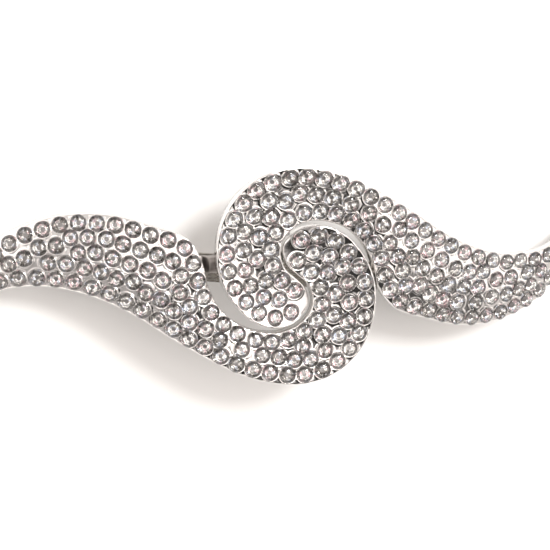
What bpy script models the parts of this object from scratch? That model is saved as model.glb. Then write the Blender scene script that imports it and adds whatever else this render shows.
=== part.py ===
"""Rhinestone swirl hair clip on a French barrette.

Two comma-shaped castings nest into each other like a yin-yang and carry a pave
of round stones. One is the other turned half a turn, but for its inner edge.
The pair is arched along its length and soldered to a slim 60 mm spring
barrette: arched base, tension bow, clasp arm and catch.

Frame: X runs along the clip, Y across it, +Z out of its front. The clip lies on
its back, and the origin is under its middle on the surface it lies on.
Lengths are in millimetres and become metres through MM.
"""
import math

import bmesh
import bpy
from mathutils import Vector

MM = 0.001

# ---- driving dimensions, mm ------------------------------------------------
REST_HEIGHT = 13.2          # crest of the arch above the surface the clip lies on
ARCH_RADIUS = 106.0         # of the castings, along the length
CASTING_THICKNESS = 1.8
WING_CROWN = 0.4            # the wings are a little domed across
HEAD_DISH = 0.35            # the heads are a little hollow across
FIT_GAP = 0.3               # between pieces that touch

STONE_MARGIN = 0.35         # bare metal outside the outermost stones
STONE_BED = 0.2             # glue bed that joins the stones of one panel
STONE_RISE = 0.45           # stones above their bed
STONE_JOINT = 0.2           # half the joint between two stones

BARRETTE_TURN = math.radians(-4.5)   # the barrette follows the S of the wings
BARRETTE_Y = -0.5           # and sits a little towards the front edge
BASE_TOP_DROP = 3.0         # base plate's front face under the castings' front
BASE_THICKNESS = 0.8
BASE_WIDTH = 3.0
BASE_END = 31.5
PAD_X = 17.9                # solder pads between castings and base

PIN_X, PIN_Z = 29.5, -11.4
PIN_RADIUS = 0.5
PIN_HOLE = PIN_RADIUS + FIT_GAP
EAR_INNER, EAR_OUTER = 1.8, 2.4
KNUCKLE_RADIUS = 1.2
KNUCKLE_HALF = 1.5

ARM_THICKNESS = 0.8
ARM_WIDTH = 2.6
ARM_MID_Z = -10.6
BOW_THICKNESS = 0.4
BOW_WIDTH = 2.6
BOW_MID_Z = -5.3
BOW_PIVOT_X, BOW_PIVOT_Z = 23.0, -6.81
BOW_FREE_X, BOW_FREE_Z = -21.5, -7.6

CATCH_X = -27.5             # middle of the catch
CATCH_RIVET_X = -24.5
FRAME_HALF_WIDTH, FRAME_HALF_LENGTH = 3.2, 3.0
WINDOW_HALF_WIDTH, WINDOW_HALF_LENGTH = 1.9, 1.9
FRAME_Z = -12.0             # middle of the arm's window frame
TAB_PIVOT_Y, TAB_PIVOT_Z = 1.25, -10.6

# ---- scroll outline --------------------------------------------------------
# Ribs across the left casting from its wing tip round to the tip of its head.
# Each rib is (x, y, relief) on the inner edge, then on the outer edge; relief
# is the height above the plain arch.
RIBS = [
    ((-44.9, -5.6, 0.0), (-45.3, -6.4, 0.1)),
    ((-43.3, -1.8, 0.0), (-43.3, -5.1, 0.2)),
    ((-41.0, 1.9, -0.1), (-41.0, -3.4, 0.4)),
    ((-38.3, 5.0, -0.2), (-38.0, -1.8, 0.6)),
    ((-33.6, 7.35, -0.2), (-33.6, -1.25, 0.6)),
    ((-28.6, 8.35, -0.2), (-29.2, -1.8, 0.6)),
    ((-23.6, 8.15, -0.1), (-25.0, -3.2, 0.6)),
    ((-18.6, 6.75, 0.0), (-21.0, -5.2, 0.7)),
    ((-14.4, 5.2, 0.3), (-17.2, -7.7, 0.85)),
    ((-12.4, 1.9, 0.3), (-13.9, -9.7, 1.0)),
    ((-11.6, -1.4, 0.25), (-10.9, -11.4, 1.15)),
    ((-9.7, -4.7, 0.3), (-7.6, -13.0, 1.3)),
    ((-6.7, -6.9, 0.45), (-3.8, -14.2, 1.45)),
    ((-3.2, -7.6, 0.7), (0.6, -14.6, 1.6)),
    ((-0.9, -7.1, 0.9), (4.9, -13.5, 1.8)),
    ((0.75, -6.2, 1.05), (8.3, -10.9, 1.95)),
    ((1.9, -4.8, 1.2), (10.3, -7.3, 2.05)),
    ((2.2, -3.0, 1.2), (10.9, -3.5, 2.1)),
    ((1.5, -1.1, 1.05), (10.5, -0.2, 2.1)),
    ((0.15, 0.15, 0.85), (8.9, 3.0, 2.1)),
    ((-1.15, 1.35, 0.65), (6.5, 5.5, 2.0)),
    ((-1.8, 3.0, 0.45), (3.6, 6.75, 1.8)),
    ((-1.7, 4.2, 0.4), (1.2, 6.65, 1.3)),
    ((-1.2, 5.05, 0.4), (-0.45, 5.85, 0.75)),
]
# The right casting is made the same way and turned half a turn, but its inner
# edge runs closer to the other's head: rib number and inner point.
CLOSER_INNER = {9: (-11.75, 2.1, 0.3), 10: (-10.85, -1.3, 0.25), 11: (-9.1, -4.33, 0.3),
                12: (-6.5, -6.4, 0.45), 13: (-3.1, -7.35, 0.7)}
RIGHT_RIBS = [(CLOSER_INNER.get(i, inner), outer) for i, (inner, outer) in enumerate(RIBS)]
HEAD_FROM, HEAD_FULL = 8.0, 16.0     # ribs over which the wing turns into a head
LAST_RIB = len(RIBS) - 1


def catmull_rom(points, t):
    """Point at parameter t on the smooth curve through points, one per unit."""
    i = min(int(t), len(points) - 2)
    f = t - i
    p1, p2 = Vector(points[i]), Vector(points[i + 1])
    p0 = Vector(points[i - 1]) if i > 0 else 2 * p1 - p2
    p3 = Vector(points[i + 2]) if i + 2 < len(points) else 2 * p2 - p1
    return 0.5 * (2 * p1 + (p2 - p0) * f + (2 * p0 - 5 * p1 + 4 * p2 - p3) * f ** 2
                  + (3 * p1 - p0 - 3 * p2 + p3) * f ** 3)


def arch(x):
    """Height of the plain arch at x."""
    return -x * x / (2 * ARCH_RADIUS)


def scroll_point(ribs, u, v, lift=0.0):
    """Point of a casting's front: u counts ribs, v runs inner to outer edge."""
    inner = catmull_rom([rib[0] for rib in ribs], u)
    outer = catmull_rom([rib[1] for rib in ribs], u)
    p = inner.lerp(outer, v)
    head = min(max((u - HEAD_FROM) / (HEAD_FULL - HEAD_FROM), 0.0), 1.0)
    bulge = WING_CROWN * (1 - head) - HEAD_DISH * head
    width = (outer - inner).to_2d().length
    bulge *= min(width / 8.0, 1.0) * math.sin(math.pi * v)
    return Vector((p.x, p.y, arch(p.x) + p.z + bulge + lift))


def rib_width(ribs, u):
    """Plan width of the casting at rib u."""
    inner = catmull_rom([rib[0] for rib in ribs], u)
    outer = catmull_rom([rib[1] for rib in ribs], u)
    return (outer - inner).to_2d().length


# ---- scene helpers ---------------------------------------------------------
for old in list(bpy.data.objects):
    bpy.data.objects.remove(old, do_unlink=True)

parts = bpy.data.collections.new("rhinestone_hair_clip")
cutters = bpy.data.collections.new("cutters")
bpy.context.scene.collection.children.link(parts)
bpy.context.scene.collection.children.link(cutters)


def material(name, colour, roughness, metallic):
    """Principled BSDF with one colour."""
    mat = bpy.data.materials.new(name)
    mat.use_nodes = True
    shader = mat.node_tree.nodes["Principled BSDF"]
    shader.inputs["Base Color"].default_value = (*colour, 1)
    shader.inputs["Roughness"].default_value = roughness
    shader.inputs["Metallic"].default_value = metallic
    return mat


RHODIUM = material("polished_rhodium", (0.72, 0.70, 0.68), 0.12, 1.0)
STEEL = material("nickel_plated_steel", (0.60, 0.59, 0.58), 0.25, 1.0)
CRYSTAL = material("crystal_stones", (0.80, 0.80, 0.80), 0.05, 0.3)


def empty(name, location, turn=0.0):
    """Frame that pieces are parented to."""
    frame = bpy.data.objects.new(name, None)
    frame.location = Vector(location) * MM
    frame.rotation_euler = (0, 0, turn)
    parts.objects.link(frame)
    return frame


def add(name, mesh, mat, frame, location=(0, 0, 0), turn=(0, 0, 0)):
    """Place a mesh as a named piece in a frame."""
    obj = bpy.data.objects.new(name, mesh)
    parts.objects.link(obj)
    obj.parent = frame
    obj.location = Vector(location) * MM
    obj.rotation_euler = turn
    if not mesh.materials:
        mesh.materials.append(mat)
    return obj


def mesh_of(bm, name):
    """Turn a bmesh in millimetres into a mesh in metres."""
    bmesh.ops.scale(bm, vec=(MM, MM, MM), verts=bm.verts)
    bmesh.ops.recalc_face_normals(bm, faces=bm.faces)
    mesh = bpy.data.meshes.new(name)
    bm.to_mesh(mesh)
    bm.free()
    return mesh


def drop_wall(bm, faces, depth):
    """Give an open surface a thickness straight down, keeping its front."""
    new = bmesh.ops.extrude_face_region(bm, geom=faces, use_keep_orig=True)["geom"]
    back = [g for g in new if isinstance(g, bmesh.types.BMVert)]
    bmesh.ops.translate(bm, vec=(0, 0, -depth), verts=back)


def profile_mesh(name, outline, width):
    """Side profile in X and Z, extruded across Y to the given width."""
    curve = bpy.data.curves.new(name, "CURVE")
    curve.dimensions = "2D"
    curve.fill_mode = "BOTH"
    curve.extrude = width / 2 * MM
    spline = curve.splines.new("POLY")
    spline.points.add(len(outline) - 1)
    for point, (x, z) in zip(spline.points, outline):
        point.co = (x * MM, z * MM, 0, 1)
    spline.use_cyclic_u = True
    obj = bpy.data.objects.new(name, curve)
    cutters.objects.link(obj)
    bpy.context.view_layer.update()
    mesh = bpy.data.meshes.new_from_object(obj.evaluated_get(bpy.context.evaluated_depsgraph_get()))
    bpy.data.objects.remove(obj)
    bm = bmesh.new()
    bm.from_mesh(mesh)
    bmesh.ops.remove_doubles(bm, verts=bm.verts, dist=1e-6)
    for vert in bm.verts:
        vert.co = (vert.co.x, -vert.co.z, vert.co.y)
    bmesh.ops.recalc_face_normals(bm, faces=bm.faces)
    bm.to_mesh(mesh)
    bm.free()
    mesh.name = name
    return mesh


def box_mesh(name, low, high):
    """Box between two corners."""
    bm = bmesh.new()
    bmesh.ops.create_cube(bm, size=1)
    size = [b - a for a, b in zip(low, high)]
    middle = [(a + b) / 2 for a, b in zip(low, high)]
    bmesh.ops.scale(bm, vec=size, verts=bm.verts)
    bmesh.ops.translate(bm, vec=middle, verts=bm.verts)
    return mesh_of(bm, name)


def cross_pin_mesh(name, radius, half_length, x, z, sides=20):
    """Round bar along Y, centred at (x, 0, z)."""
    bm = bmesh.new()
    bmesh.ops.create_cone(bm, cap_ends=True, segments=sides, radius1=radius, radius2=radius,
                          depth=2 * half_length)
    for vert in bm.verts:
        vert.co = (vert.co.x + x, vert.co.z, vert.co.y + z)
    return mesh_of(bm, name)


def boolean(obj, mesh, frame, operation):
    """Join or cut obj with another mesh, kept as a hidden cutter."""
    tool = bpy.data.objects.new(f"{obj.name}_{mesh.name}", mesh)
    cutters.objects.link(tool)
    tool.parent = frame
    tool.hide_render = True
    tool.display_type = "WIRE"
    mod = obj.modifiers.new(mesh.name, "BOOLEAN")
    mod.operation = operation
    mod.object = tool
    mod.solver = "EXACT"


def rivet_mesh(name, shank_radius, head_radius, head, grip):
    """Turned rivet on Z: two heads on a shank whose heads stand grip apart."""
    seat = grip / 2
    upper = [(0, seat + head), (head_radius * 0.7, seat + head), (head_radius, seat + head * 0.5),
             (head_radius, seat), (shank_radius, seat)]
    profile = upper + [(x, -z) for x, z in reversed(upper)]
    bm = bmesh.new()
    verts = [bm.verts.new((x, 0, z)) for x, z in profile]
    edges = [bm.edges.new(pair) for pair in zip(verts, verts[1:])]
    bmesh.ops.spin(bm, geom=verts + edges, cent=(0, 0, 0), axis=(0, 0, 1), angle=2 * math.pi, steps=16)
    bmesh.ops.remove_doubles(bm, verts=bm.verts, dist=1e-3)
    return mesh_of(bm, name)


clip_frame = empty("clip_frame", (0, 0, REST_HEIGHT))
barrette = empty("barrette_frame", (0, BARRETTE_Y, REST_HEIGHT), BARRETTE_TURN)
SIDES = (("left", RIBS, 0.0), ("right", RIGHT_RIBS, math.pi))


# ---- scroll castings -------------------------------------------------------
def scroll_mesh(ribs, steps_along=2, steps_across=5):
    """The casting: a ruled surface between its two edges with vertical walls."""
    bm = bmesh.new()
    stations = LAST_RIB * steps_along
    grid = [[bm.verts.new(scroll_point(ribs, i / steps_along, j / steps_across))
             for j in range(steps_across + 1)] for i in range(stations + 1)]
    faces = [bm.faces.new((grid[i][j], grid[i][j + 1], grid[i + 1][j + 1], grid[i + 1][j]))
             for i in range(stations) for j in range(steps_across)]
    drop_wall(bm, faces, CASTING_THICKNESS)
    return mesh_of(bm, "scroll")


for side, ribs, turn in SIDES:
    add(f"{side}_scroll", scroll_mesh(ribs), RHODIUM, clip_frame, turn=(0, 0, turn))


# ---- pave panels -----------------------------------------------------------
# name, first rib, last rib, stones along, stones across
PANELS = (
    ("tip_stones", 0.6, 1.95, 3, 2),
    ("wing_stones", 2.03, 7.94, 13, 5),
    ("shoulder_stones", 8.05, 13.45, 9, 4),
    ("head_stones", 13.58, 22.6, 10, 5),
)


def panel_mesh(name, ribs, first, last, along, across):
    """Stones as raised square seats on a thin bed that follows the casting."""
    bm = bmesh.new()
    grid = []
    for i in range(along + 1):
        u = first + (last - first) * i / along
        margin = STONE_MARGIN / rib_width(ribs, u)
        vs = [margin + (1 - 2 * margin) * j / across for j in range(across + 1)]
        grid.append([bm.verts.new(scroll_point(ribs, u, v, FIT_GAP + STONE_BED)) for v in vs])
    faces = [bm.faces.new((grid[i][j], grid[i][j + 1], grid[i + 1][j + 1], grid[i + 1][j]))
             for i in range(along) for j in range(across)]
    drop_wall(bm, faces, STONE_BED)
    bmesh.ops.recalc_face_normals(bm, faces=bm.faces)
    front = [f for f in bm.faces if f in set(faces)]
    bmesh.ops.inset_individual(bm, faces=front, thickness=STONE_JOINT, depth=STONE_RISE, use_even_offset=True)
    return mesh_of(bm, name)


for panel, *layout in PANELS:
    for side, ribs, turn in SIDES:
        add(f"{side}_{panel}", panel_mesh(panel, ribs, *layout), CRYSTAL, clip_frame, turn=(0, 0, turn))


# ---- bridges that tie each wing to the other scroll's head -----------------
BRIDGE_Y, BRIDGE_WIDTH = 1.5, 2.8


def bridge_mesh(neck_x):
    """Bar under the wing, with a neck at neck_x up to the underside of the other head."""
    outline = [(-14.2, -3.35), (-9.5, -3.35), (-9.5, -0.95), (neck_x + 0.8, -0.8),
               (neck_x, -1.3), (neck_x, -2.65), (-14.2, -2.65)]
    return profile_mesh("bridge", outline, BRIDGE_WIDTH)


# The right casting comes closer to the head, so the neck there is thinner.
for side, y, turn, neck_x in (("left", BRIDGE_Y, 0.0, -11.7), ("right", -BRIDGE_Y, math.pi, -10.8)):
    add(f"{side}_bridge", bridge_mesh(neck_x), RHODIUM, clip_frame, location=(0, y, 0), turn=(0, 0, turn))


# ---- base plate, pads and hinge --------------------------------------------
def base_top(x):
    return arch(x) - BASE_TOP_DROP


def base_bottom(x):
    return base_top(x) - BASE_THICKNESS


def arch_outline(x_from, x_to, top, bottom, steps):
    """Closed outline between a top and a bottom line."""
    xs = [x_from + (x_to - x_from) * i / steps for i in range(steps + 1)]
    return [(x, top(x)) for x in xs] + [(x, bottom(x)) for x in reversed(xs)]


def slope(x):
    """Turn about Y that lays a piece along the arch at x."""
    return math.atan(x / ARCH_RADIUS)


base_outline = arch_outline(-BASE_END + 1, BASE_END, base_top, base_bottom, 16)
base = add("base_plate", profile_mesh("base_plate", base_outline, BASE_WIDTH), STEEL, barrette)
hinge_end = arch_outline(PIN_X - 2.5, BASE_END - 0.05, lambda x: base_top(x) - 0.05,
                         lambda x: base_bottom(x) + 0.05, 2)
boolean(base, profile_mesh("hinge_end", hinge_end, 2 * EAR_OUTER), barrette, "UNION")
EAR_FROM, EAR_TO = PIN_X - 2.2, PIN_X + 1.9
EAR_ROOT = 0.4              # how far the ears reach into the base plate
EAR_OUTLINE = [(EAR_FROM, base_bottom(EAR_FROM) + EAR_ROOT), (EAR_TO, base_bottom(EAR_TO) + EAR_ROOT),
               (EAR_TO, -12.0), (PIN_X + 1.2, -12.9), (PIN_X + 0.6, -REST_HEIGHT),
               (PIN_X - 0.6, -REST_HEIGHT), (PIN_X - 1.2, -12.9), (PIN_X - 1.9, -12.0)]
for sign, name in ((1, "rear_ear"), (-1, "front_ear")):
    ear = profile_mesh(name, EAR_OUTLINE, EAR_OUTER - EAR_INNER)
    for vert in ear.vertices:
        vert.co.y += sign * (EAR_OUTER + EAR_INNER) / 2 * MM
    boolean(base, ear, barrette, "UNION")
boolean(base, cross_pin_mesh("pin_hole", PIN_HOLE, 4.0, PIN_X, PIN_Z), barrette, "DIFFERENCE")


def rivet_hole(x, z, radius):
    """Cutter square to the arch at x."""
    bm = bmesh.new()
    bmesh.ops.create_cone(bm, cap_ends=True, segments=16, radius1=radius, radius2=radius, depth=3.0)
    mesh = mesh_of(bm, "rivet_hole")
    square = Vector((math.sin(slope(x)), 0, math.cos(slope(x))))
    for vert in mesh.vertices:
        vert.co.rotate(Vector((0, 0, 1)).rotation_difference(square))
        vert.co += Vector((x, 0, z)) * MM
    return mesh


RIVET_SHANK, RIVET_HOLE, RIVET_HEAD_RADIUS, RIVET_HEAD = 0.6, 0.9, 1.2, 0.4
for x in (BOW_PIVOT_X, CATCH_RIVET_X):
    boolean(base, rivet_hole(x, base_top(x) - BASE_THICKNESS / 2, RIVET_HOLE), barrette, "DIFFERENCE")

PAD_SIZE = (6.0, 2.8, 1.2)
pad = box_mesh("solder_pad", [-s / 2 for s in PAD_SIZE], [s / 2 for s in PAD_SIZE])
for side, x in (("left", -PAD_X), ("right", PAD_X)):
    pad_z = base_top(x) + FIT_GAP + PAD_SIZE[2] / 2 + 0.05
    add(f"{side}_solder_pad", pad, STEEL, barrette, location=(x, 0, pad_z), turn=(0, slope(x), 0))

PIN_HALF = EAR_OUTER + FIT_GAP + 0.2
PIN_HEAD_RADIUS, PIN_HEAD_HALF = 0.9, 0.2
pin = add("hinge_pin", cross_pin_mesh("hinge_pin", PIN_RADIUS, PIN_HALF, 0, 0), STEEL, barrette,
          location=(PIN_X, 0, PIN_Z))
for sign in (-1, 1):
    head = cross_pin_mesh(f"pin_head_{sign + 1}", PIN_HEAD_RADIUS, PIN_HEAD_HALF, 0, 0)
    for vert in head.vertices:
        vert.co += Vector((PIN_X, sign * PIN_HALF, PIN_Z)) * MM
    boolean(pin, head, barrette, "UNION")

# ---- clasp arm -------------------------------------------------------------
ARM_FLAT = 8.0              # half the length of its flat middle
ARM_XS = (PIN_X - 1.1, 22.0, 15.0, ARM_FLAT, -ARM_FLAT, -14.0, -20.0, CATCH_X + FRAME_HALF_LENGTH - 0.6)


def arm_z(x):
    """Middle line of the arm: flat in the middle, falling to both ends."""
    reach, fall = (PIN_X, ARM_MID_Z - PIN_Z) if x > 0 else (-CATCH_X - FRAME_HALF_LENGTH, ARM_MID_Z - FRAME_Z)
    return ARM_MID_Z - fall * max(abs(x) - ARM_FLAT, 0.0) ** 2 / (reach - ARM_FLAT) ** 2


half = ARM_THICKNESS / 2
arm_outline = [(x - PIN_X, arm_z(x) + half - PIN_Z) for x in ARM_XS]
arm_outline += [(x - PIN_X, arm_z(x) - half - PIN_Z) for x in reversed(ARM_XS)]
arm = add("clasp_arm", profile_mesh("clasp_arm", arm_outline, ARM_WIDTH), STEEL, barrette,
          location=(PIN_X, 0, PIN_Z))
boolean(arm, cross_pin_mesh("knuckle", KNUCKLE_RADIUS, KNUCKLE_HALF, PIN_X, PIN_Z), barrette, "UNION")
boolean(arm, cross_pin_mesh("knuckle_hole", PIN_HOLE, 4.0, PIN_X, PIN_Z), barrette, "DIFFERENCE")
FRAME_HALF = 0.35           # half the thickness of the window frame
window_frame = box_mesh("window_frame",
                        (CATCH_X - FRAME_HALF_LENGTH, -FRAME_HALF_WIDTH, FRAME_Z - FRAME_HALF),
                        (CATCH_X + FRAME_HALF_LENGTH, FRAME_HALF_WIDTH, FRAME_Z + FRAME_HALF))
boolean(arm, window_frame, barrette, "UNION")
window = box_mesh("window", (CATCH_X - WINDOW_HALF_LENGTH, -WINDOW_HALF_WIDTH, FRAME_Z - 2),
                  (CATCH_X + WINDOW_HALF_LENGTH, WINDOW_HALF_WIDTH, FRAME_Z + 2))
boolean(arm, window, barrette, "DIFFERENCE")
FRAME_END = CATCH_X - FRAME_HALF_LENGTH
LIP_OUTLINE = [(FRAME_END + x, z) for x, z in
               ((0.4, -11.7), (-0.4, -11.75), (-1.2, -12.1), (-1.9, -12.6), (-2.2, -REST_HEIGHT),
                (-1.5, -REST_HEIGHT), (-1.2, -12.95), (-0.7, -12.6), (-0.2, -12.3), (0.4, -12.3))]
LIP_WIDTH = 4.4
boolean(arm, profile_mesh("finger_lip", LIP_OUTLINE, LIP_WIDTH), barrette, "UNION")


# ---- tension bow and its rivet ---------------------------------------------
def bow_z(x):
    """Middle line of the bow, riveted at its hinge end and free at the other."""
    reach, end = (BOW_PIVOT_X, BOW_PIVOT_Z) if x > 0 else (BOW_FREE_X, BOW_FREE_Z)
    return BOW_MID_Z - (BOW_MID_Z - end) * (x / reach) ** 2


bow_outline = [(x - BOW_PIVOT_X, z - BOW_PIVOT_Z) for x, z in
               arch_outline(BOW_FREE_X, BOW_PIVOT_X + 1.7, lambda x: bow_z(x) + BOW_THICKNESS / 2,
                            lambda x: bow_z(x) - BOW_THICKNESS / 2, 14)]
bow = add("tension_bow", profile_mesh("tension_bow", bow_outline, BOW_WIDTH), STEEL, barrette,
          location=(BOW_PIVOT_X, 0, BOW_PIVOT_Z))
boolean(bow, rivet_hole(BOW_PIVOT_X, BOW_PIVOT_Z, RIVET_HOLE), barrette, "DIFFERENCE")

RIVET_PROUD = 0.35          # upper rivet head's seat above the base plate
bow_grip = 2.3
bow_rivet = rivet_mesh("bow_rivet", RIVET_SHANK, RIVET_HEAD_RADIUS, RIVET_HEAD, bow_grip)
add("bow_rivet", bow_rivet, STEEL, barrette,
    location=(BOW_PIVOT_X, 0, base_top(BOW_PIVOT_X) + RIVET_PROUD - bow_grip / 2),
    turn=(0, slope(BOW_PIVOT_X), 0))


# ---- catch -----------------------------------------------------------------
CATCH_FROM, CATCH_TO = CATCH_X - 2.5, CATCH_X + 4.4
CATCH_STEP = CATCH_X + 1.8  # where its thick tab block begins
FLANGE_BOTTOM = 1.1         # of its riveted flange, below the base plate
CATCH_BOTTOM = -10.0
CATCH_TOP = [(x, base_bottom(x) - FIT_GAP - 0.05) for x in (CATCH_FROM, CATCH_X, CATCH_TO)]
CATCH_OUTLINE = CATCH_TOP + [(CATCH_TO, base_bottom(CATCH_TO) - FLANGE_BOTTOM),
                             (CATCH_STEP, base_bottom(CATCH_STEP) - FLANGE_BOTTOM),
                             (CATCH_STEP - 0.4, CATCH_BOTTOM), (CATCH_FROM, CATCH_BOTTOM)]
CATCH_WIDTH = 4.0
catch = add("catch_plate", profile_mesh("catch_plate", CATCH_OUTLINE, CATCH_WIDTH), STEEL, barrette)
catch_hole = rivet_hole(CATCH_RIVET_X, base_bottom(CATCH_RIVET_X) - 0.7, RIVET_HOLE)
boolean(catch, catch_hole, barrette, "DIFFERENCE")

catch_grip = 2.55
catch_rivet = rivet_mesh("catch_rivet", RIVET_SHANK, RIVET_HEAD_RADIUS - 0.1, RIVET_HEAD, catch_grip)
add("catch_rivet", catch_rivet, STEEL, barrette,
    location=(CATCH_RIVET_X, 0, base_top(CATCH_RIVET_X) + RIVET_PROUD - catch_grip / 2),
    turn=(0, slope(CATCH_RIVET_X), 0))

# Squeeze tab, seen along the clip: a leaf through the arm's window with a barb
# below it, and an arm out to a finger pad. (y, z), from the pivot.
TAB_OUTLINE = [(-0.3, 0.3), (0.3, 0.3), (0.3, 0.1), (2.95, 0.1), (2.95, -2.0), (2.45, -2.0), (2.45, -0.6),
               (0.3, -0.6), (0.3, -2.15), (0.5, -2.2), (0.3, -2.5), (-0.3, -2.5)]
TAB_WIDTH = 2.4


def tab_mesh(sign):
    """Tab outline extruded along X; sign -1 is the mirrored front tab."""
    mesh = profile_mesh("squeeze_tab", TAB_OUTLINE, TAB_WIDTH)
    bm = bmesh.new()
    bm.from_mesh(mesh)
    for vert in bm.verts:
        vert.co = (vert.co.y, sign * vert.co.x, vert.co.z)
    bmesh.ops.recalc_face_normals(bm, faces=bm.faces)
    bm.to_mesh(mesh)
    bm.free()
    return mesh


for name, sign in (("rear_squeeze_tab", 1), ("front_squeeze_tab", -1)):
    add(name, tab_mesh(sign), STEEL, barrette, location=(CATCH_X, sign * TAB_PIVOT_Y, TAB_PIVOT_Z))

for obj in parts.objects:
    if obj.type == "MESH":
        obj.data.shade_smooth()
        obj.data.set_sharp_from_angle(angle=math.radians(35))
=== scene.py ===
import math

import bpy
import numpy as np
from mathutils import Matrix, Vector


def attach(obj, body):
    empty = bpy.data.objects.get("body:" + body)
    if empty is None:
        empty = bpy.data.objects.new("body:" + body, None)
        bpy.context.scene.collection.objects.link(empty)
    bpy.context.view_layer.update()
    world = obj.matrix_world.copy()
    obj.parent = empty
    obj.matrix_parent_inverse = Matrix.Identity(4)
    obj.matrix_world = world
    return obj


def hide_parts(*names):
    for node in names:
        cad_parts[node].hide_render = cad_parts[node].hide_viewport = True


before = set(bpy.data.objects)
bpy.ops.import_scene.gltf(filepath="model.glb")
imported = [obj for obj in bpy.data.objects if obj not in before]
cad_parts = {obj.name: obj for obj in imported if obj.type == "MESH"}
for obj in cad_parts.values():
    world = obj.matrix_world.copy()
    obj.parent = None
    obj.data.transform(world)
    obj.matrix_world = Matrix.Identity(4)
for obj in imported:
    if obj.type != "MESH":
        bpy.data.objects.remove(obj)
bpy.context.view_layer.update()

# ---- Camera ----
# About 22 cm above the clip, looking down on its jewelled front from a little to
# the left of its middle and a little above it.
MM = 0.001
CREST = 13.2                                  # crest of the castings' arch over the floor, mm
yaw, pitch, roll = math.radians(13.65), math.radians(9.65), math.radians(0.4)
back = Vector((-math.sin(yaw) * math.cos(pitch), math.sin(pitch), math.cos(yaw) * math.cos(pitch)))
right = Vector((0, 1, 0)).cross(back).normalized()
camera = bpy.data.objects.new("camera", bpy.data.cameras.new("camera"))
camera.data.sensor_width, camera.data.lens, camera.data.clip_start = 36, 110, 0.01
spot = (Vector((0, 0, CREST)) + 224 * back) * MM
aim = (Vector((0, 0, CREST)) - 2.65 * right) * MM
view_back = (spot - aim).normalized()
view_right = Vector((0, 1, 0)).cross(view_back).normalized()
view_up = view_back.cross(view_right)
axes = Matrix((view_right, view_up, view_back)).transposed().to_4x4()
camera.matrix_world = Matrix.Translation(spot) @ axes @ Matrix.Rotation(roll, 4, "Z")
bpy.context.collection.objects.link(camera)
bpy.context.scene.camera = camera
bpy.context.scene.view_settings.view_transform = "Standard"


# ---- Floor, room and lamp ----
# White card in a bright room. Light comes from all round, most from a window past
# the clip's far side, and someone stands at the near side, so the polished metal
# shows a dark patch where it mirrors them.
def srgb(code, alpha=1.0):
    """sRGB hex to the linear colour a shader takes."""
    channels = [int(code[i:i + 2], 16) / 255 for i in (0, 2, 4)]
    return [c / 12.92 if c <= 0.04045 else ((c + 0.055) / 1.055) ** 2.4 for c in channels] + [alpha]


def node(tree, kind, settings=None, **inputs):
    """Adds a shader node. Inputs, by name or as i0, i1 and so on, are values or sockets to link from."""
    made = tree.nodes.new(kind)
    for key, value in (settings or {}).items():
        setattr(made, key, value)
    for key, value in inputs.items():
        numbered = key[0] == "i" and key[1:].isdigit()
        socket = made.inputs[int(key[1:]) if numbered else key.replace("_", " ")]
        if isinstance(value, bpy.types.NodeSocket):
            tree.links.new(value, socket)
        else:
            socket.default_value = value
    return made


world = bpy.data.worlds.new("room")
world.use_nodes = True
bpy.context.scene.world = world
tree = world.node_tree
tree.nodes.clear()
ray = node(tree, "ShaderNodeTexCoord").outputs["Generated"]
BASE_LIGHT, LEAST_LIGHT = 0.84, 0.04
light = BASE_LIGHT
# Each patch: its direction, inner and outer half-angle in degrees, and the light it adds or takes away.
PATCHES = (
    ((0.28, 0.10, 0.95), 12, 36, 1.5),
    ((-0.92, 0.25, 0.30), 12, 40, 1.0),
    ((0.75, 0.55, 0.35), 6, 18, 0.9),
    ((-0.35, -0.80, 0.50), 5, 14, 1.4),
    ((-0.55, 0.45, 0.70), 5, 12, 0.9),
    ((0.35, 0.80, 0.48), 6, 12, 1.2),
    ((0.07, -0.22, 0.97), 12, 20, -2.2),
    ((0.15, -0.54, 0.82), 8, 20, -1.2),
    ((0.58, -0.40, 0.71), 6, 16, -0.75),
    ((0.84, -0.12, 0.53), 6, 16, 0.9),
    ((-0.17, 0.05, 0.98), 5, 14, 0.8),
    ((-0.42, -0.25, 0.87), 6, 18, -0.4),
)
for toward, inner, outer, change in PATCHES:
    facing = node(tree, "ShaderNodeVectorMath", {"operation": "DOT_PRODUCT"},
                  i0=ray, i1=Vector(toward).normalized()).outputs["Value"]
    patch = node(tree, "ShaderNodeMapRange", {"interpolation_type": "SMOOTHSTEP"}, Value=facing,
                 From_Min=math.cos(math.radians(outer)), From_Max=math.cos(math.radians(inner)),
                 To_Min=0.0, To_Max=change).outputs["Result"]
    light = node(tree, "ShaderNodeMath", {"operation": "ADD"}, i0=light, i1=patch).outputs[0]
light = node(tree, "ShaderNodeMath", {"operation": "MAXIMUM"}, i0=light, i1=LEAST_LIGHT).outputs[0]
background = node(tree, "ShaderNodeBackground", Color=srgb("fff8f4"), Strength=light)
node(tree, "ShaderNodeOutputWorld", Surface=background.outputs[0])

lamp = bpy.data.objects.new("window", bpy.data.lights.new("window", "AREA"))
lamp.data.shape, lamp.data.size, lamp.data.energy = "DISK", 0.16, 2.3
lamp.location = Vector((150, 230, 480)) * MM
lamp.rotation_mode = "QUATERNION"
lamp.rotation_quaternion = (Vector((0, 0, 0)) - lamp.location).to_track_quat("-Z", "Y")
bpy.context.collection.objects.link(lamp)


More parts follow.
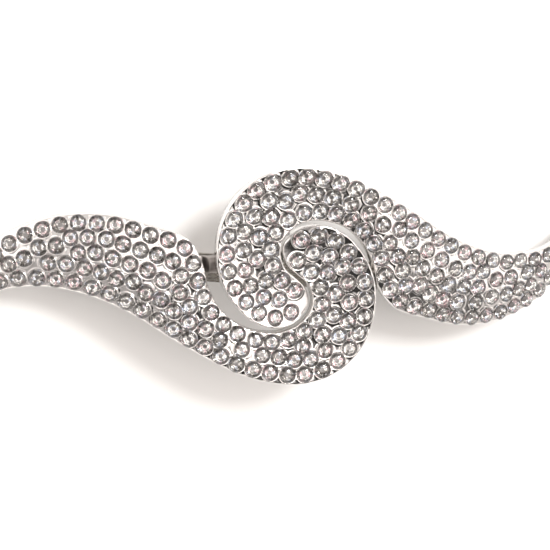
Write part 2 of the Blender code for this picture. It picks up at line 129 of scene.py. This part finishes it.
def new_piece(name, points, faces, *materials):
    """Object from an array of points in mm and a list of arrays of face corners."""
    mesh = bpy.data.meshes.new(name)
    corners = np.concatenate([np.asarray(f).ravel() for f in faces]).astype(np.int32)
    sizes = np.concatenate([np.full(len(f), np.asarray(f).shape[1]) for f in faces]).astype(np.int32)
    mesh.vertices.add(len(points))
    mesh.vertices.foreach_set("co", (np.asarray(points, float) * MM).ravel())
    mesh.loops.add(len(corners))
    mesh.loops.foreach_set("vertex_index", corners)
    mesh.polygons.add(len(sizes))
    mesh.polygons.foreach_set("loop_start", np.concatenate([[0], np.cumsum(sizes)[:-1]]).astype(np.int32))
    mesh.polygons.foreach_set("loop_total", sizes)
    mesh.update(calc_edges=True)
    mesh.validate()
    for material in materials:
        mesh.materials.append(material)
    obj = bpy.data.objects.new(name, mesh)
    bpy.context.collection.objects.link(obj)
    return obj


def start_material(name, **values):
    """New material with plain values on its shader: returns it, its node tree and its shader."""
    material = bpy.data.materials.new(name)
    material.use_nodes = True
    shader = material.node_tree.nodes["Principled BSDF"]
    for key, value in values.items():
        shader.inputs[key.replace("_", " ")].default_value = value
    return material, material.node_tree, shader


# White card, pressed smooth: matt, and lifted a little so that it stays clean white.
card = start_material("white card, pressed", Base_Color=srgb("ecebe9"), Roughness=0.9,
                      Emission_Color=srgb("ffffff"), Emission_Strength=0.06)[0]
FLOOR_HALF = 3000
corners = [(-1, -1, 0), (1, -1, 0), (1, 1, 0), (-1, 1, 0)]
floor = new_piece("floor", np.array(corners) * FLOOR_HALF, [[(0, 1, 2, 3)]], card)

# ---- Scroll castings ----
# Each half of the swirl is one comma-shaped zinc casting, drilled with a seat for
# every stone, barrel-polished and rhodium plated. The right one is the left one
# turned half a turn, but for its inner edge, and both are arched along the clip.
ARCH_RADIUS, THICKNESS = 106.0, 1.8
WING_CROWN, HEAD_DISH = 0.4, 0.35
# Ribs from the wing's tip round to the tip of the head: inner edge, then outer
# edge, each x, y and height over the plain arch, in mm.
RIBS = np.array([
    ((-44.9, -5.6, 0.0), (-45.3, -6.4, 0.1)), ((-43.3, -1.8, 0.0), (-43.3, -5.1, 0.2)),
    ((-41.0, 1.9, -0.1), (-41.0, -3.4, 0.4)), ((-38.3, 5.0, -0.2), (-38.0, -1.8, 0.6)),
    ((-33.6, 7.35, -0.2), (-33.6, -1.25, 0.6)), ((-28.6, 8.35, -0.2), (-29.2, -1.8, 0.6)),
    ((-23.6, 8.15, -0.1), (-25.0, -3.2, 0.6)), ((-18.6, 6.75, 0.0), (-21.0, -5.2, 0.7)),
    ((-14.4, 5.2, 0.3), (-17.2, -7.7, 0.85)), ((-12.4, 1.9, 0.3), (-13.9, -9.7, 1.0)),
    ((-11.6, -1.4, 0.25), (-10.9, -11.4, 1.15)), ((-9.7, -4.7, 0.3), (-7.6, -13.0, 1.3)),
    ((-6.7, -6.9, 0.45), (-3.8, -14.2, 1.45)), ((-3.2, -7.6, 0.7), (0.6, -14.6, 1.6)),
    ((-0.9, -7.1, 0.9), (4.9, -13.5, 1.8)), ((0.75, -6.2, 1.05), (8.3, -10.9, 1.95)),
    ((1.9, -4.8, 1.2), (10.3, -7.3, 2.05)), ((2.2, -3.0, 1.2), (10.9, -3.5, 2.1)),
    ((1.5, -1.1, 1.05), (10.5, -0.2, 2.1)), ((0.15, 0.15, 0.85), (8.9, 3.0, 2.1)),
    ((-1.15, 1.35, 0.65), (6.5, 5.5, 2.0)), ((-1.8, 3.0, 0.45), (3.6, 6.75, 1.8)),
    ((-1.7, 4.2, 0.4), (1.2, 6.65, 1.3)), ((-1.2, 5.05, 0.4), (-0.45, 5.85, 0.75)),
])
LAST_RIB = len(RIBS) - 1
# The right casting's inner edge runs closer to the other's head, by a few tenths.
RIGHT_RIBS = RIBS.copy()
RIGHT_RIBS[9:14, 0] = ((-11.75, 2.1, 0.3), (-10.85, -1.3, 0.25), (-9.1, -4.33, 0.3), (-6.5, -6.4, 0.45),
                       (-3.1, -7.35, 0.7))
SIDES = (("left", RIBS, 1), ("right", RIGHT_RIBS, -1))


def edge_curves(ribs, u):
    """Catmull-Rom curves through the ribs' two ends: a cubic in the way f from rib b to rib c."""
    p = np.concatenate([2 * ribs[:1] - ribs[1:2], ribs, 2 * ribs[-1:] - ribs[-2:-1]])
    i = np.clip(u.astype(int), 0, LAST_RIB - 1)
    f = (u - i)[..., None, None]
    a, b, c, d = p[i], p[i + 1], p[i + 2], p[i + 3]
    bend, twist = 2 * a - 5 * b + 4 * c - d, 3 * b - a - 3 * c + d
    curve = 0.5 * (2 * b + (c - a) * f + bend * f ** 2 + twist * f ** 3)
    return curve[..., 0, :], curve[..., 1, :]


def headness(u):
    """0 on the wing, 1 on the head, straight between ribs 8 and 16."""
    return np.clip((u - 8) / 8, 0, 1)


def rib_width(ribs, u):
    """Distance between the two edge curves."""
    inner, outer = edge_curves(ribs, u)
    return np.hypot(*(outer - inner)[..., :2].T).T


def front(ribs, u, v):
    """Front of a casting: straight lines between the edge curves, lifted by a parabola along the arch and
    crowned or dished by a sine across it."""
    inner, outer = edge_curves(ribs, u)
    p = inner + (outer - inner) * v[..., None]
    bulge = (WING_CROWN * (1 - headness(u)) - HEAD_DISH * headness(u)) * np.minimum(rib_width(ribs, u) / 8, 1)
    z = CREST - p[..., 0] ** 2 / (2 * ARCH_RADIUS) + p[..., 2] + bulge * np.sin(np.pi * np.clip(v, 0, 1))
    return np.stack([p[..., 0], p[..., 1], z], -1)


def front_normal(ribs, u, v):
    """Unit normal of the front: the cross product of its slopes along u and across v."""
    e = 1e-3
    along = front(ribs, np.minimum(u + e, LAST_RIB), v) - front(ribs, np.maximum(u - e, 0), v)
    across = front(ribs, u, v + e) - front(ribs, u, v - e)
    n = np.cross(across, along)
    n *= np.sign(n[..., 2:3])
    return n / np.linalg.norm(n, axis=-1, keepdims=True)


# Stones are set along both edges first. The rest are shaken in between them,
# one more wherever a gap is left, which leaves the middle a little jumbled.
STONE_R = 1.11
ROW_PITCH, STONE_PITCH, LEAST_PITCH = 2.33, 2.22, 2.10
ROW_PUSH, LOOSE_PUSH = 0.03, 0.35             # how far crowded stones give way at each turn
WING_MARGIN, HEAD_MARGIN = 0.08, 0.30
FIRST_STONE_RIB, LAST_STONE_RIB = 0.75, LAST_RIB - 0.25
LOOSE_GAP = 1.62                              # a hole this far from its nearest stones takes one more


def field_points(ribs, along, across):
    """Grid over the front: its parameters, its points and the area that each point stands for."""
    u_steps = np.linspace(FIRST_STONE_RIB, LAST_STONE_RIB, along)
    u, v = np.meshgrid(u_steps, np.linspace(0, 1, across), indexing="ij")
    at = front(ribs, u, v)
    area = np.linalg.norm(np.cross(np.gradient(at, axis=0), np.gradient(at, axis=1)), axis=-1)
    return u.ravel(), v.ravel(), at.reshape(-1, 3), area.ravel()


def nearest(points, targets):
    """Index of the nearest target to each point, and its distance."""
    squares = (points ** 2).sum(1)[:, None] + (targets ** 2).sum(1)[None] - 2 * points @ targets.T
    return squares.argmin(1), np.sqrt(np.maximum(squares.min(1), 0))


def edge_row(ribs, edge_number):
    """Places at even steps on the line that runs one margin and one stone radius inside an edge."""
    u = np.linspace(FIRST_STONE_RIB, LAST_STONE_RIB, 4000)
    curves = edge_curves(ribs, u)
    edge, other = curves[edge_number], curves[1 - edge_number]
    along = np.gradient(edge[:, :2], axis=0)
    inward = np.column_stack([-along[:, 1], along[:, 0]])
    inward *= np.sign((inward * (other - edge)[:, :2]).sum(1))[:, None]
    inward /= np.linalg.norm(inward, axis=1, keepdims=True)
    margin = WING_MARGIN + (HEAD_MARGIN - WING_MARGIN) * headness(u)
    line = edge[:, :2] + inward * (STONE_R + margin)[:, None]
    length = np.concatenate([[0], np.cumsum(np.linalg.norm(np.diff(line, axis=0), axis=1))])
    steps = np.linspace(0, length[-1], int(length[-1] // ROW_PITCH) + 1)
    return np.column_stack([np.interp(steps, length, line[:, axis]) for axis in (0, 1)])


def spacing(at):
    """Vectors and distances between all stones, with each one far from itself."""
    apart = at[:, None] - at[None]
    return apart, np.linalg.norm(apart, axis=2) + 9 * np.eye(len(at))


def set_stones(ribs):
    """Rib parameters of the stones' places: both edge rows, then the middle, evened out by moving each
    stone to the middle of the area nearest to it and pushing apart those that are too close."""
    fine_u, fine_v, fine_at, _ = field_points(ribs, 1500, 90)
    edges = np.vstack([curve[:, :2] for curve in edge_curves(ribs, np.linspace(0, LAST_RIB, 1200))])
    rows = np.vstack([edge_row(ribs, 1), edge_row(ribs, 0)])
    rows = rows[nearest(rows, edges)[1] > STONE_R + 0.02]
    kept = []
    for number, place in enumerate(rows):
        if not kept or np.linalg.norm(rows[kept] - place, axis=1).min() > LEAST_PITCH:
            kept.append(number)
    at = fine_at[nearest(rows[kept], fine_at[:, :2])[0]]
    in_row = len(at)
    _, _, field, area = field_points(ribs, 240, 40)
    room = nearest(field[:, :2], edges)[1] > STONE_R + 0.2
    while True:
        reach = np.where(room, nearest(field, at)[1], 0)
        if reach.max() < LOOSE_GAP:
            break
        at = np.vstack([at, field[reach.argmax()]])
        if len(at) % 4 == 0 or reach.max() < 2.0:
            for _ in range(6):
                cell = nearest(field, at)[0]
                weight = np.bincount(cell, area, len(at))[:, None]
                middle = np.stack([np.bincount(cell, area * axis, len(at)) for axis in field.T], 1) / weight
                at[in_row:] = middle[in_row:]
    for _ in range(80):
        apart, gap = spacing(at)
        push = (apart / gap[..., None] * np.clip(STONE_PITCH - gap, 0, None)[..., None]).sum(1)
        at[in_row:] += LOOSE_PUSH * push[in_row:]
        at[:in_row] += ROW_PUSH * push[:in_row]
    place = nearest(at, fine_at)[0]
    return fine_u[place], fine_v[place]


stones = {side: set_stones(ribs) for side, ribs, _ in SIDES}

ROWS, COLUMNS = 520, 84
EDGE_ROUND, HOLLOW, WALL_FROM = 0.22, 0.5, 0.5
NARROW_WIDTH = 2.4                            # under this the edges' rounding shrinks with the casting
# A seat's wall drops between two rings under the stone, measured in from its girdle.
SEAT_DEPTH, SEAT_FROM, SEAT_TO = 0.55, 0.36, 0.12
LIP, LIP_AT, LIP_SPREAD = 0.05, 0.12, 0.1     # bead of metal pushed up round each stone
# Hollow back: a duller finish, and painted darker as shade.
BACK_DULL_AND_SHADE = 0.6


def close_rings(rings):
    """Rings of points joined into a closed skin, with a fan to the middle of each end."""
    rows, around = rings.shape[:2]
    index = np.arange(rows * around).reshape(rows, around)
    step = np.roll(index, -1, 1)
    quads = np.stack([index[:-1], step[:-1], step[1:], index[1:]], -1).reshape(-1, 4)
    ends = [np.stack([step[0], index[0], np.full(around, rows * around)], -1),
            np.stack([index[-1], step[-1], np.full(around, rows * around + 1)], -1)]
    return np.vstack([rings.reshape(-1, 3), rings[0].mean(0), rings[-1].mean(0)]), [quads, *ends]


def casting_shell(ribs, stone_at, stone_axis):
    """Closed rings across the casting at even steps along it: the front, sunk by a smooth step round each
    stone, quarter-round edges, walls and a hollowed back. Also returns how deep in a seat or on the back
    each point lies. The plate uses this to be rougher there and to paint it darker as shade."""
    fine_u = np.linspace(0, LAST_RIB, 4000)
    middle = front(ribs, fine_u, np.full_like(fine_u, 0.6))
    length = np.concatenate([[0], np.cumsum(np.linalg.norm(np.diff(middle, axis=0), axis=1))])
    u = np.interp(np.linspace(0, length[-1], ROWS), length, fine_u)[:, None]
    width = rib_width(ribs, u[:, 0])[:, None]
    narrow = np.minimum(1.0, width / NARROW_WIDTH)
    arc = np.radians([0, 22, 45, 68])
    inset = EDGE_ROUND * (1 - np.cos(arc))[None] * narrow / width
    first = EDGE_ROUND * narrow / width
    field_v = first + (1 - 2 * first) * np.linspace(0, 1, COLUMNS)[None]
    v = np.concatenate([inset, field_v, 1 - inset[:, ::-1]], 1)
    drop = EDGE_ROUND * (1 - np.sin(arc))
    low = np.concatenate([drop, np.zeros(COLUMNS), drop[::-1]])
    points = front(ribs, u * np.ones_like(v), v)
    flat = points.reshape(-1, 3)
    seat = nearest(flat, stone_at)[0]
    offset = flat - stone_at[seat]
    off_axis = np.linalg.norm(offset - (offset * stone_axis[seat]).sum(1)[:, None] * stone_axis[seat], axis=1)
    outside = off_axis.reshape(v.shape) - STONE_R
    wall = np.clip((outside + SEAT_FROM) / (SEAT_FROM - SEAT_TO), 0, 1)
    wall = wall * wall * (3 - 2 * wall)
    lip = LIP * np.exp(-((outside - LIP_AT) / LIP_SPREAD) ** 2)
    points[..., 2] += lip * wall - SEAT_DEPTH * (1 - wall) - low
    side_v = np.array([0, 0, 0.1, 0.7, 0.95])[None] * narrow / width
    side_low = np.array([EDGE_ROUND + WALL_FROM, THICKNESS - 0.12, THICKNESS, THICKNESS, THICKNESS - 0.45])
    hollow_v = np.linspace(0.25, 0.75, 5)[None] * np.ones_like(width)
    under = []
    for line_v, line_low in ((1 - side_v, side_low), (hollow_v[:, ::-1], THICKNESS - HOLLOW),
                             (side_v[:, ::-1], side_low[::-1])):
        line = front(ribs, u * np.ones_like(line_v), line_v)
        line[..., 2] -= line_low
        under.append(line)
    ring = np.concatenate([points, *under], 1)
    depth = np.zeros(ring.shape[:2])
    # Seats and the hollow back are rougher and painted darker as shade, the seats more so the deeper they go.
    depth[:, :v.shape[1]] = 1 - wall
    depth[:, v.shape[1] + 4:-4] = BACK_DULL_AND_SHADE
    skin_points, skin_faces = close_rings(ring)
    return skin_points, skin_faces, np.concatenate([depth.ravel(), [0, 0]])


def finish_metal(tree, shader, colour, rough, bump):
    """Links a metal's colour, roughness and bump to its shader."""
    tree.links.new(colour, shader.inputs["Base Color"])
    tree.links.new(rough, shader.inputs["Roughness"])
    tree.links.new(bump, shader.inputs["Normal"])


# Zinc casting, barrel-polished and rhodium plated: a cool, bright mirror with a
# faint orange-peel ripple. It is rougher in the seats and the hollow back, and is
# also painted darker grey there as shade, for the shade that falls into these recesses.
# The ripple is drawn at 1.1 mm, coarser than a real one, so that it shows.
rhodium, tree, shader = start_material("rhodium plate, barrel polished", Metallic=1.0)
place = node(tree, "ShaderNodeTexCoord").outputs["Object"]
dullness_and_painted_shade = node(tree, "ShaderNodeAttribute", {"attribute_name": "seat"}).outputs["Fac"]
cloud = node(tree, "ShaderNodeTexNoise", Vector=place, Scale=1 / (2.4 * MM), Detail=3.0).outputs["Fac"]
polished = node(tree, "ShaderNodeMapRange", Value=cloud, From_Min=0.3, From_Max=0.7,
                To_Min=0.07, To_Max=0.17).outputs["Result"]
rough = node(tree, "ShaderNodeMath", {"operation": "MULTIPLY_ADD"},
             i0=dullness_and_painted_shade, i1=0.25, i2=polished).outputs[0]
# Painted shade: the seats and the hollow back are drawn darker grey, where shade falls.
colour = node(tree, "ShaderNodeMix", {"data_type": "RGBA"}, Factor=dullness_and_painted_shade,
              i6=srgb("e6e4e2"), i7=srgb("8d8a88")).outputs[2]
ripple = node(tree, "ShaderNodeTexNoise", Vector=place, Scale=1 / (1.1 * MM), Detail=2.0).outputs["Fac"]
bump = node(tree, "ShaderNodeBump", Strength=0.12, Distance=0.08 * MM, Height=ripple).outputs[0]
finish_metal(tree, shader, colour, rough, bump)

for side, ribs, sign in SIDES:
    place = front(ribs, *stones[side]), front_normal(ribs, *stones[side])
    points, faces, seat_depth = casting_shell(ribs, *place)
    casting = new_piece(f"{side}_casting", points * (sign, sign, 1), faces, rhodium)
    casting.data.attributes.new("seat", "FLOAT", "POINT").data.foreach_set("value", seat_depth)
    casting.data.shade_smooth()
    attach(casting, "clip_body")
    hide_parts(f"{side}_scroll")

# ---- Stones ----
# Round glass chatons of 2.2 mm with a cut crown and a pointed, silver-foiled
# back. Each is glued into its seat with its crown just above the metal.
TABLE_R, STAR_R, MAIN_R = 0.58, 0.80, 0.48
CROWN, STAR_H, MAIN_H, POINT_H = 0.21, 0.11, -0.54, -0.99
PROUD = 0.22


def ring(radius, angles, height):
    """Points round Z."""
    return np.stack([radius * np.cos(angles), radius * np.sin(angles), np.full(len(angles), height)], -1)


def chaton():
    """One stone on Z: an 8-sided table, 8 stars, 8 kites and 16 triangles down to the girdle; then the
    foiled back, 16 triangles and 8 kites down to a point."""
    eight, sixteen = np.arange(8) * np.pi / 4, np.arange(16) * np.pi / 8
    between = eight + np.pi / 8
    points = np.concatenate([ring(STONE_R * TABLE_R, eight, CROWN), ring(STONE_R * STAR_R, between, STAR_H),
                             ring(STONE_R, sixteen, 0.0), ring(STONE_R * MAIN_R, between, MAIN_H),
                             [[0, 0, POINT_H]]])
    k = np.arange(8)
    table = [list(range(8))]
    stars = np.stack([k, 8 + k, (k + 1) % 8], -1)
    kites = np.stack([k, 8 + (k - 1) % 8, 16 + 2 * k, 8 + k], -1)
    upper = np.concatenate([np.stack([8 + k, 16 + 2 * k, 17 + 2 * k], -1),
                            np.stack([8 + k, 17 + 2 * k, 16 + (2 * k + 2) % 16], -1)])
    lower = np.concatenate([np.stack([17 + 2 * k, 16 + 2 * k, 32 + k], -1),
                            np.stack([16 + (2 * k + 2) % 16, 17 + 2 * k, 32 + k], -1)])
    mains = np.stack([16 + 2 * k, 32 + (k - 1) % 8, np.full(8, 40), 32 + k], -1)
    return points, [table, stars, kites, upper, lower, mains]


FIRST_FOILED = 4                              # of the face groups: lower and mains are foiled


# Crystal glass, cut and polished: quite clear, and its facets bend the light so
# that the foil behind it breaks into a star of light and dark.
crystal = start_material("clear crystal glass, cut", Base_Color=srgb("fbfbfb"), Roughness=0.0, IOR=1.5,
                         Transmission_Weight=1.0)[0]

# Silver mirror under lacquer on the back of each stone. Every facet gets its own
# painted tint, from white through grey to a trace of pink or blue, so no two look
# alike. This is painted light and shade and painted fire, standing in for how the
# cut glass breaks up the light.
foil, tree, shader = start_material("silver foil, lacquered", Metallic=1.0, Roughness=0.2)
tint = node(tree, "ShaderNodeAttribute", {"attribute_name": "tint"}).outputs["Color"]
tree.links.new(tint, shader.inputs["Base Color"])

PANELS = (("tip", 0, 2.0), ("wing", 2.0, 8.0), ("shoulder", 8.0, 13.5), ("head", 13.5, LAST_RIB + 1))
cut_points, cut_faces = chaton()
pick = np.random.default_rng(7)
# Painted light and shade and painted fire: white, grey, and faint pink and blue, one for each facet.
PAINTED_FIRE_AND_SHADE_TINTS = np.array([srgb(code) for code in ("f8f7f5", "e6ebf4", "f5e3e5", "cfcdca", "fbfbfa", "96938f",
                                                "ebe9e6", "f8f8f6")])
for side, ribs, sign in SIDES:
    u, v = stones[side]
    at, axis = front(ribs, u, v), front_normal(ribs, u, v)
    spin = pick.uniform(0, 2 * np.pi, len(u))
    lean = pick.normal(0, math.radians(2.5), (len(u), 2))
    up = axis + np.column_stack([lean, np.zeros(len(u))])
    up /= np.linalg.norm(up, axis=1, keepdims=True)
    across = np.cross(np.column_stack([np.cos(spin), np.sin(spin), np.zeros(len(u))]), up)
    across /= np.linalg.norm(across, axis=1, keepdims=True)
    turns = np.stack([across, np.cross(up, across), up], 2)
    for panel, first, last in PANELS:
        chosen = np.flatnonzero((u >= first) & (u < last))
        points = cut_points @ np.swapaxes(turns[chosen], 1, 2) + (at + axis * PROUD)[chosen, None]
        shift = (np.arange(len(chosen)) * len(cut_points))[:, None, None]
        faces = [(np.asarray(f)[None] + shift).reshape(-1, np.asarray(f).shape[1]) for f in cut_faces]
        points = points.reshape(-1, 3) * (sign, sign, 1)
        chatons = new_piece(f"{side}_{panel}_chatons", points, faces, crystal, foil)
        foiled = np.concatenate([np.full(len(f), group >= FIRST_FOILED) for group, f in enumerate(faces)])
        chatons.data.polygons.foreach_set("material_index", foiled.astype(np.int32))
        tints = PAINTED_FIRE_AND_SHADE_TINTS[pick.integers(0, len(PAINTED_FIRE_AND_SHADE_TINTS), len(foiled))]
        chatons.data.attributes.new("tint", "FLOAT_COLOR", "FACE").data.foreach_set("color", tints.ravel())
        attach(chatons, "clip_body")
        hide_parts(f"{side}_{panel}_stones")

# ---- Bridges ----
# Each wing is tied to the other casting's head by a short cast neck, waisted
# like a poured bar and left rough under the stones, where polish can't reach.
BRIDGE_Y, BRIDGE_HALF = 1.5, 1.4
BRIDGE_FROM, BRIDGE_TO = -14.1, -9.6
BRIDGE_BOTTOM, WING_END_TOP, NECK_RISE = -3.3, -2.75, 1.8
WAIST, STEP_HALF = 0.22, 0.4

# Zinc as it leaves the mould, plated over, with a pitted skin. It is painted a
# darker, warmer grey that varies in patches. This is painted shade, for the shade it
# sits in under the castings. The pits are coarser than real ones, so that they show.
shaded_bridge_metal, tree, shader = start_material("rhodium plate, as cast, painted shade", Metallic=1.0)
place = node(tree, "ShaderNodeTexCoord").outputs["Object"]
skin = node(tree, "ShaderNodeTexNoise", Vector=place, Scale=1 / (0.7 * MM), Detail=4.0).outputs["Fac"]
patchy = node(tree, "ShaderNodeTexNoise", Vector=place, Scale=1 / (2.0 * MM), Detail=2.0).outputs["Fac"]
# Painted shade: the neck is drawn in dark greys that vary in patches.
colour = node(tree, "ShaderNodeMix", {"data_type": "RGBA"}, Factor=patchy,
              i6=srgb("5d5855"), i7=srgb("b5afab")).outputs[2]
rough = node(tree, "ShaderNodeMapRange", Value=skin, To_Min=0.25, To_Max=0.5).outputs["Result"]
bump = node(tree, "ShaderNodeBump", Strength=0.5, Distance=0.06 * MM, Height=skin).outputs[0]
finish_metal(tree, shader, colour, rough, bump)


def neck(neck_x):
    """Squared ring carried along X: its width dips by a sine, its top rises by a smooth step at neck_x."""
    along = np.linspace(0, 1, 40)[:, None]
    turn = np.linspace(0, 2 * np.pi, 28, endpoint=False)[None]
    waist = 1 - WAIST * np.sin(np.pi * along) ** 0.8
    squared = (np.abs(np.cos(turn)) ** 4 + np.abs(np.sin(turn)) ** 4) ** -0.25
    x = BRIDGE_FROM + (BRIDGE_TO - BRIDGE_FROM) * along + 0 * turn
    y = BRIDGE_Y + BRIDGE_HALF * waist * squared * np.cos(turn)
    rise = np.clip((x - neck_x + STEP_HALF) / (2 * STEP_HALF), 0, 1)
    top = WING_END_TOP + NECK_RISE * rise * rise * (3 - 2 * rise)
    z = CREST + (top + BRIDGE_BOTTOM) / 2 + (top - BRIDGE_BOTTOM) / 2 * squared * np.sin(turn)
    return close_rings(np.stack([x, y, z], -1))


# The right casting comes closer to the head, so the neck there is thinner.
for side, sign, neck_x in (("left", 1, -11.7), ("right", -1, -10.8)):
    points, faces = neck(neck_x)
    bridge = new_piece(f"{side}_neck", points * (sign, sign, 1), faces, shaded_bridge_metal)
    bridge.data.shade_smooth()
    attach(bridge, "clip_body")
    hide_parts(f"{side}_bridge")

# ---- Solder ----
# A pool of tin solder holds each casting to the barrette, run out over the edges
# of its pad and dull where it froze.
PAD_X, BARRETTE_TURN, BARRETTE_Y = 17.9, math.radians(-4.5), -0.5
POOL_X, POOL_Y, POOL_HALF_HEIGHT, POOL_DROP = 3.15, 1.42, 0.85, 2.15

# Tin solder, melted and left to freeze: soft grey with a frosted bloom in patches.
solder, tree, shader = start_material("tin solder, flowed", Metallic=1.0)
place = node(tree, "ShaderNodeTexCoord").outputs["Object"]
frost = node(tree, "ShaderNodeTexNoise", Vector=place, Scale=1 / (1.1 * MM), Detail=3.0).outputs["Fac"]
colour = node(tree, "ShaderNodeMix", {"data_type": "RGBA"}, Factor=frost,
              i6=srgb("8f8d8a"), i7=srgb("c9c7c3")).outputs[2]
rough = node(tree, "ShaderNodeMapRange", Value=frost, To_Min=0.28, To_Max=0.5).outputs["Result"]
bump = node(tree, "ShaderNodeBump", Strength=0.3, Distance=0.06 * MM, Height=frost).outputs[0]
finish_metal(tree, shader, colour, rough, bump)


def pool(sign):
    """Flattened ball, its sines and cosines raised to low powers, with a wavy rim; laid on the arch at its
    pad and turned with the barrette."""
    fall = np.linspace(0.02, np.pi - 0.02, 24)[:, None]
    turn = -np.linspace(0, 2 * np.pi, 48, endpoint=False)[None]
    wavy = 1 + 0.05 * np.sin(3 * turn + sign) + 0.04 * np.sin(5 * turn)
    reach = np.sin(fall) ** 0.35 * wavy
    x = sign * PAD_X + POOL_X * reach * np.cos(turn)
    y = POOL_Y * reach * np.sin(turn)
    dome = POOL_HALF_HEIGHT * np.sign(np.cos(fall)) * np.abs(np.cos(fall)) ** 0.6
    z = CREST - POOL_DROP - x ** 2 / (2 * ARCH_RADIUS) + dome
    turned_x = x * math.cos(BARRETTE_TURN) - y * math.sin(BARRETTE_TURN)
    turned_y = x * math.sin(BARRETTE_TURN) + y * math.cos(BARRETTE_TURN) + BARRETTE_Y
    return close_rings(np.stack([turned_x, turned_y, z], -1))


for side, sign in (("left", -1), ("right", 1)):
    joint = new_piece(f"{side}_solder", *pool(sign), solder)
    joint.data.shade_smooth()
    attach(joint, "clip_body")
    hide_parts(f"{side}_solder_pad")

# ---- Barrette ----
# A spring barrette of stamped steel strip, nickel plated and riveted: base
# plate with hinge ears, clasp arm, catch with two squeeze tabs, tension bow.


def strip_metal(name, light, dark, rough, grain):
    """Plated steel strip: rolled grain along it, faint rub marks, and edges softened by tumbling. The grain
    is 3.8 mm long and 0.2 mm wide, coarser than a real one, so that it shows."""
    metal, tree, shader = start_material(name, Metallic=1.0)
    place = node(tree, "ShaderNodeTexCoord").outputs["Object"]
    stretched = node(tree, "ShaderNodeMapping", Vector=place, Scale=(1.0, 18.0, 18.0)).outputs[0]
    rolled = node(tree, "ShaderNodeTexNoise", Vector=stretched,
                  Scale=1 / (3.8 * MM), Detail=4.0).outputs["Fac"]
    rubbed = node(tree, "ShaderNodeTexNoise", Vector=place, Scale=1 / (2.9 * MM), Detail=3.0).outputs["Fac"]
    colour = node(tree, "ShaderNodeMix", {"data_type": "RGBA"}, Factor=rubbed,
                  i6=srgb(dark), i7=srgb(light)).outputs[2]
    spread = node(tree, "ShaderNodeMapRange", Value=rolled,
                  To_Min=rough - 0.08, To_Max=rough + 0.12).outputs["Result"]
    softened = node(tree, "ShaderNodeBevel", {"samples": 4}, Radius=0.12 * MM).outputs[0]
    bump = node(tree, "ShaderNodeBump", Strength=grain, Distance=0.04 * MM, Height=rolled,
                Normal=softened).outputs[0]
    finish_metal(tree, shader, colour, spread, bump)
    return metal


# Bright nickel gives a warm, soft mirror. The spring steel of the bow and the
# tabs is greyer, with a stronger grain.
nickel = strip_metal("nickel plate over stamped steel", "d6d1c8", "a8a39b", 0.24, 0.25)
tempered = strip_metal("tempered spring steel, plated", "b9b9b7", "82827f", 0.3, 0.4)
STAMPED = ("base_plate", "hinge_pin", "clasp_arm", "bow_rivet", "catch_plate", "catch_rivet")
SPRUNG = ("tension_bow", "rear_squeeze_tab", "front_squeeze_tab")
for names, metal in ((STAMPED, nickel), (SPRUNG, tempered)):
    for name in names:
        bpy.data.objects[name].data.materials.clear()
        bpy.data.objects[name].data.materials.append(metal)
